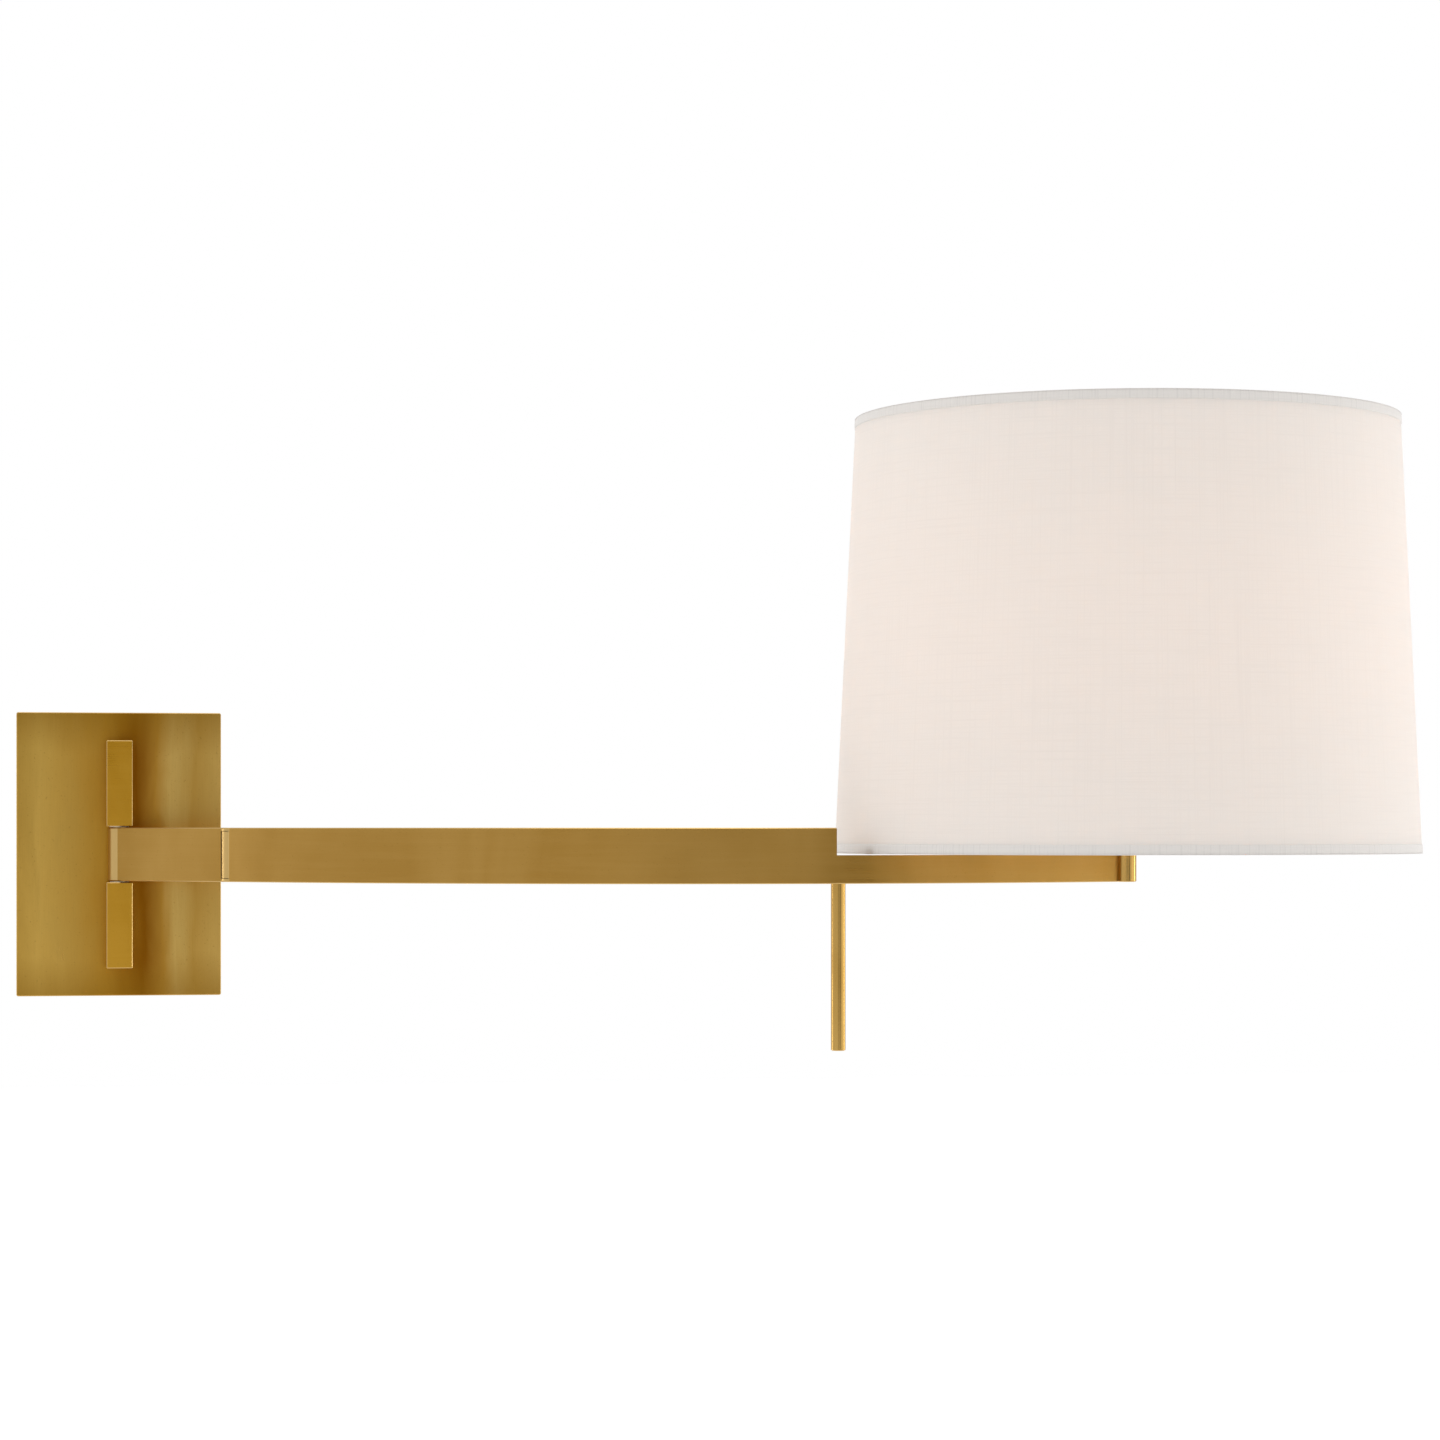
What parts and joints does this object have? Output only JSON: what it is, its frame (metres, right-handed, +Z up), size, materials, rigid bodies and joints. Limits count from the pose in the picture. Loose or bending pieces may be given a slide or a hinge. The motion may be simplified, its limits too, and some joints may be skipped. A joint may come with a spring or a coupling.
{
  "type": "swing arm wall sconce",
  "caption": "Wall sconce with a flat jointed brass arm that swings on vertical pins, a handle rod under it, and a linen drum shade over a lamp holder.",
  "frame": {"origin": "centre of the wall plate's back face, on the wall", "axes": "+X along the wall towards the shade, +Y into the wall, +Z up"},
  "size_m": [0.852, 0.3632, 0.3842],
  "materials": {
    "antique_brass": "brushed and patinated",
    "turned_brass": "satin, turned",
    "zinc_steel": "zinc plated",
    "green_screw": "green, satin",
    "nylon": "natural nylon",
    "wire_black": "black insulation",
    "wire_white": "white insulation",
    "wire_green": "green insulation",
    "connector_orange": "moulded, satin",
    "harp_wire": "satin, drawn",
    "ring_wire": "drawn wire",
    "fibre": "pressed fibre",
    "black_phenolic": "moulded, satin",
    "cap_metal": "satin",
    "frosted_glass": "frosted inside",
    "linen": "off-white woven linen",
    "linen_trim": "off-white rolled linen hem",
    "styrene": "translucent white"
  },
  "bodies": {
    "wall_body": {"mounting_strap": "zinc_steel", "ground_screw": "green_screw", "backplate": "antique_brass", "side_screws": "zinc_steel", "upper_knuckle": "antique_brass", "lower_knuckle": "antique_brass", "block_screws": "zinc_steel", "hinge_pin": "turned_brass", "hinge_washers": "nylon", "live_wire": "wire_black", "neutral_wire": "wire_white", "ground_wire": "wire_green", "wire_connectors": "connector_orange"},
    "link_body": {"inner_link": "antique_brass", "elbow_pin": "turned_brass", "elbow_caps": "antique_brass", "link_lead": "wire_black"},
    "arm_body": {"outer_arm": "antique_brass", "handle_rod": "antique_brass", "end_post": "antique_brass", "nipple": "turned_brass", "lock_nut": "turned_brass", "harp_saddle": "harp_wire", "socket_cup": "turned_brass", "socket_shell": "turned_brass", "socket_liner": "fibre", "socket_core": "black_phenolic", "centre_contact": "turned_brass", "screw_shell": "cap_metal", "arm_lead": "wire_black", "bulb_cap": "cap_metal", "bulb_globe": "frosted_glass", "harp": "harp_wire", "harp_sleeves": "harp_wire", "harp_stud": "turned_brass", "shade_liner": "styrene", "shade_linen": "linen", "bottom_trim": "linen_trim", "top_trim": "linen_trim", "bottom_ring": "ring_wire", "top_ring": "ring_wire", "spider": "ring_wire", "finial": "turned_brass"},
    "switch_body": {"switch_shaft": "turned_brass", "switch_knob": "black_phenolic"}
  },
  "joints": [
    {"name": "wall_swing", "type": "hinge", "parent": "wall_body", "child": "link_body", "pos_m": [0, -0.0356, 0], "axis": [0, 0, 1], "range_deg": [-105, 0]},
    {"name": "elbow_swing", "type": "hinge", "parent": "link_body", "child": "arm_body", "pos_m": [0.06719, -0.09442, 0], "axis": [0, 0, 1], "range_deg": [-50, 0]},
    {"name": "switch_turn", "type": "hinge", "parent": "arm_body", "child": "switch_body", "pos_m": [0.60881, -0.20347, 0.0452], "axis": [0, -1, 0], "continuous": true}
  ]
}
